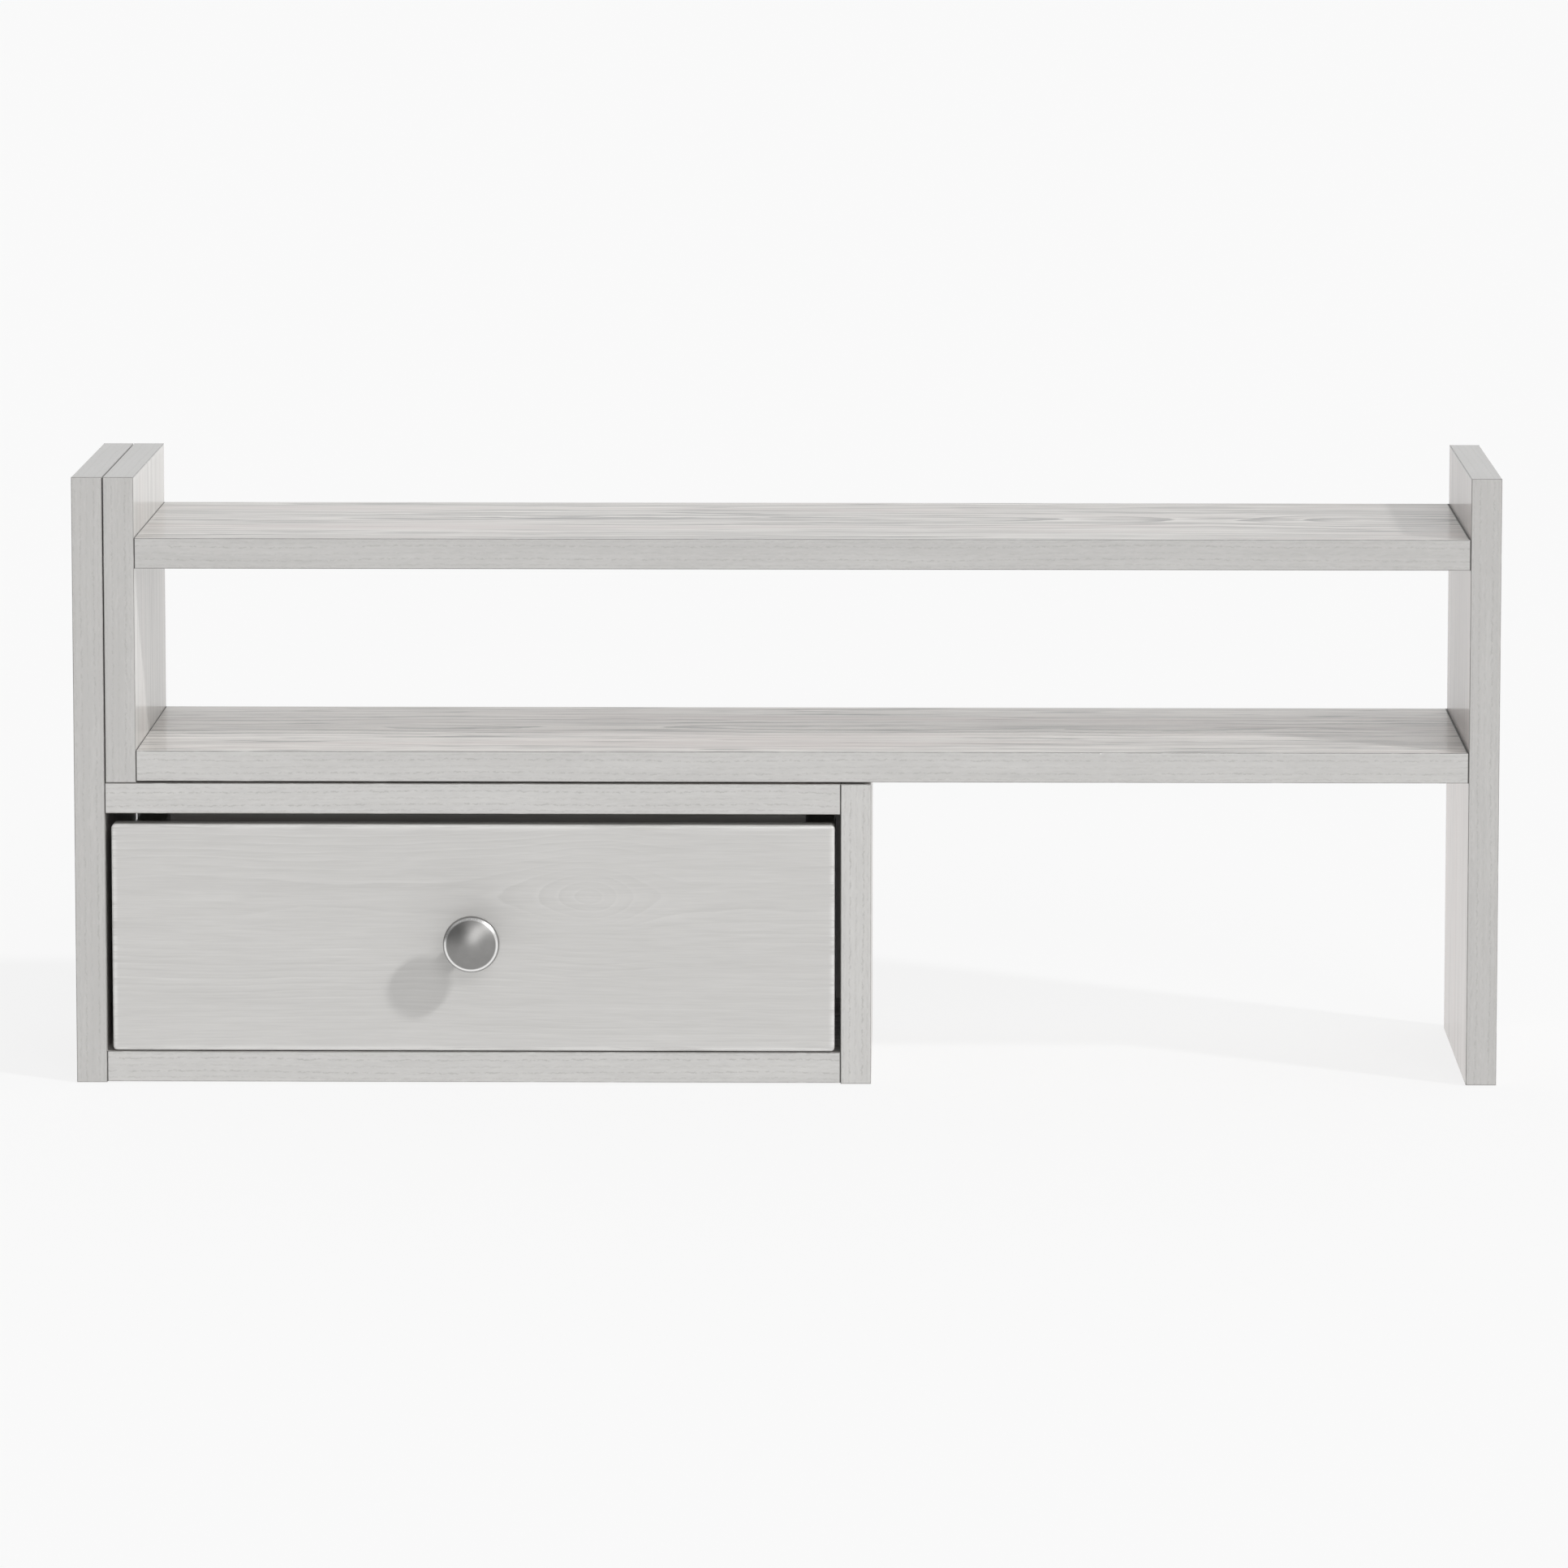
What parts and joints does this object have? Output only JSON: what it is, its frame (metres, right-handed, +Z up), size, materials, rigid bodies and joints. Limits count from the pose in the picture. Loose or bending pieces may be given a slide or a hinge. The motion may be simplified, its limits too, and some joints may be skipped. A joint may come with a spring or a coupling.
{
  "type": "desk organizer",
  "caption": "Extendable desk-top shelf in grey wood-grain board: a drawer cabinet with a tall side panel, and a shelf unit that slides sideways out of it to widen it.",
  "frame": {"origin": "on the desk, under the centre of the box of the whole closed object, knob included", "axes": "+X to the right along the shelves, -Y to the front with the drawer and knob, +Z up"},
  "size_m": [0.7, 0.2056, 0.3],
  "materials": {
    "board_laminate": "satin laminate with light grey oak grain",
    "edge_band": "satin edge band with grain along its length",
    "drawer_front_laminate": "satin laminate with light grey oak grain",
    "drawer_box_laminate": "satin laminate with light grey oak grain",
    "grey_hardboard": "matt painted hardboard",
    "cast_zinc": "as cast, plated",
    "bright_steel": "zinc-plated",
    "beech_dowel": "bare beech",
    "satin_nickel": "satin nickel plating"
  },
  "bodies": {
    "base_unit": {"base_side_tall": "board_laminate", "base_side_short": "board_laminate", "base_top_board": "board_laminate", "base_bottom_board": "board_laminate", "base_back_panel": "grey_hardboard", "base_side_tall_edging": "edge_band", "base_side_short_edging": "edge_band", "base_top_board_edging": "edge_band", "base_bottom_board_edging": "edge_band", "base_top_board_cam_locks": "cast_zinc", "base_top_board_cam_bolts": "bright_steel", "base_top_board_dowels": "beech_dowel", "base_bottom_board_cam_locks": "cast_zinc", "base_bottom_board_cam_bolts": "bright_steel", "base_bottom_board_dowels": "beech_dowel", "base_back_nails": "bright_steel"},
    "shelf_unit": {"shelf_side_short": "board_laminate", "shelf_side_tall": "board_laminate", "upper_shelf": "board_laminate", "lower_shelf": "board_laminate", "shelf_side_short_edging": "edge_band", "shelf_side_tall_edging": "edge_band", "upper_shelf_edging": "edge_band", "lower_shelf_edging": "edge_band", "upper_shelf_cam_locks": "cast_zinc", "upper_shelf_cam_bolts": "bright_steel", "upper_shelf_dowels": "beech_dowel", "lower_shelf_cam_locks": "cast_zinc", "lower_shelf_cam_bolts": "bright_steel", "lower_shelf_dowels": "beech_dowel"},
    "drawer": {"drawer_front": "drawer_front_laminate", "drawer_side_left": "drawer_box_laminate", "drawer_side_right": "drawer_box_laminate", "drawer_back": "drawer_box_laminate", "drawer_bottom": "grey_hardboard", "drawer_knob": "satin_nickel", "drawer_cam_locks": "cast_zinc", "drawer_cam_bolts": "bright_steel", "drawer_dowels": "beech_dowel", "drawer_back_screws": "bright_steel", "drawer_bottom_pins": "bright_steel", "knob_screw": "bright_steel"}
  },
  "joints": [
    {"name": "shelf_unit_slide", "type": "slide", "parent": "base_unit", "child": "shelf_unit", "axis": [1, 0, 0], "range_m": [0, 0.36]},
    {"name": "drawer_slide", "type": "slide", "parent": "base_unit", "child": "drawer", "axis": [0, -1, 0], "range_m": [0, 0.13]}
  ]
}
